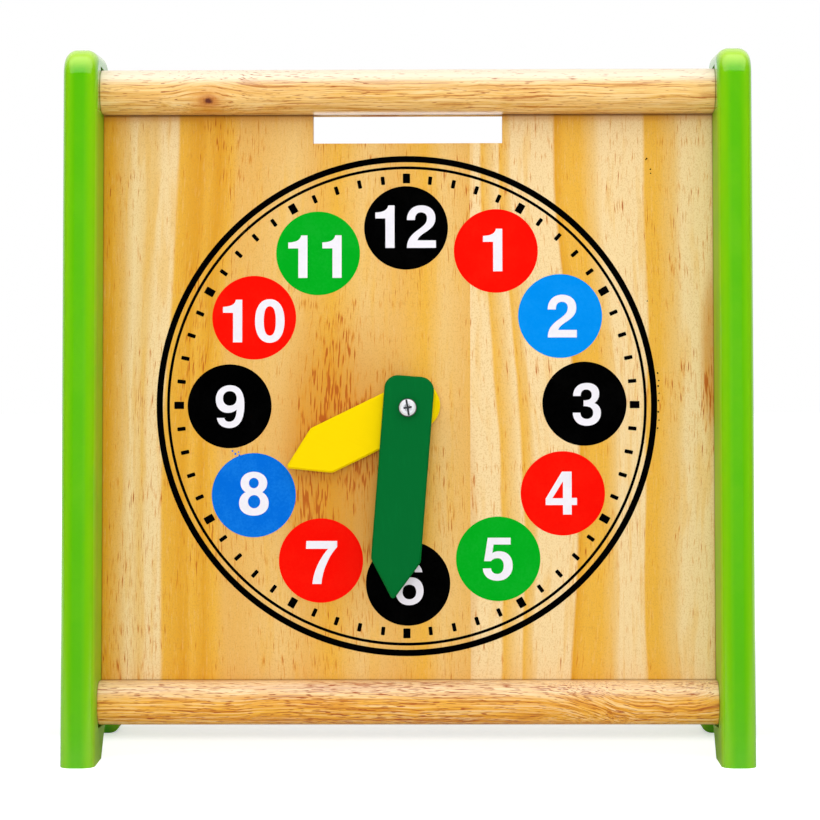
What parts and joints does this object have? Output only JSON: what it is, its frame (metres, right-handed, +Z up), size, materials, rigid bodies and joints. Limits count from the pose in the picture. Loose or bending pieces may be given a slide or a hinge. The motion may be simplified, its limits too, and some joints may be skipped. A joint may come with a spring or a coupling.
{
  "type": "geared teaching clock",
  "caption": "Free-standing wooden clock for teaching the time: a printed dial panel between two painted side boards, with hands turned by an open gear train behind the panel.",
  "frame": {"origin": "centre of the bounding box in plan, on the floor the feet stand on", "axes": "+Z up, +X to the right as seen from the front, +Y from the dial towards the back"},
  "size_m": [0.3, 0.12, 0.311],
  "materials": {
    "board_paint": "gloss lime-green paint on solid wood",
    "rail_wood": "clear-lacquered rubberwood with a knot",
    "panel_wood_dark": "clear-lacquered pine, honey-coloured, printed",
    "panel_wood_light": "clear-lacquered pine, pale, printed",
    "minute_hand_paint": "satin dark-green paint",
    "hour_hand_paint": "satin yellow paint",
    "screw_zinc": "bright zinc plate",
    "axle_steel": "turned",
    "bush_brass": "turned",
    "hour_gear_plastic": "moulded, satin",
    "minute_gear_plastic": "moulded, satin",
    "idler_gear_plastic": "moulded, satin",
    "post_plastic": "moulded, satin",
    "clear_plate": "clear acrylic, polished"
  },
  "bodies": {
    "frame": {"side_board_left": "board_paint", "side_board_right": "board_paint", "bottom_rail": "rail_wood", "top_rail": "rail_wood", "panel_board_wide": "panel_wood_dark", "panel_board_narrow": "panel_wood_light", "dial_bush": "bush_brass", "idler_axle": "axle_steel", "back_plate": "clear_plate", "plate_posts": "post_plastic", "plate_screws": "screw_zinc"},
    "minute": {"minute_hand": "minute_hand_paint", "hand_screw": "screw_zinc", "minute_arbor": "axle_steel", "cannon_pinion": "minute_gear_plastic"},
    "hour": {"hour_hand": "hour_hand_paint", "hour_pipe": "bush_brass", "hour_wheel": "hour_gear_plastic"},
    "idler": {"minute_wheel": "idler_gear_plastic", "minute_pinion": "idler_gear_plastic"}
  },
  "joints": [
    {"name": "minute_spin", "type": "hinge", "parent": "frame", "child": "minute", "pos_m": [0, -0.04724, 0.15518], "axis": [0, 0.9966, -0.0819], "continuous": true},
    {"name": "hour_spin", "type": "hinge", "parent": "frame", "child": "hour", "pos_m": [0, -0.04724, 0.15518], "axis": [0, 0.9966, -0.0819], "continuous": true},
    {"name": "idler_spin", "type": "hinge", "parent": "frame", "child": "idler", "pos_m": [0, -0.05093, 0.11033], "axis": [0, 0.9966, -0.0819], "continuous": true}
  ],
  "couplings": [
    {"joint": "hour_spin", "follows": "minute_spin", "ratio": 0.083333},
    {"joint": "idler_spin", "follows": "minute_spin", "ratio": -0.33333}
  ]
}
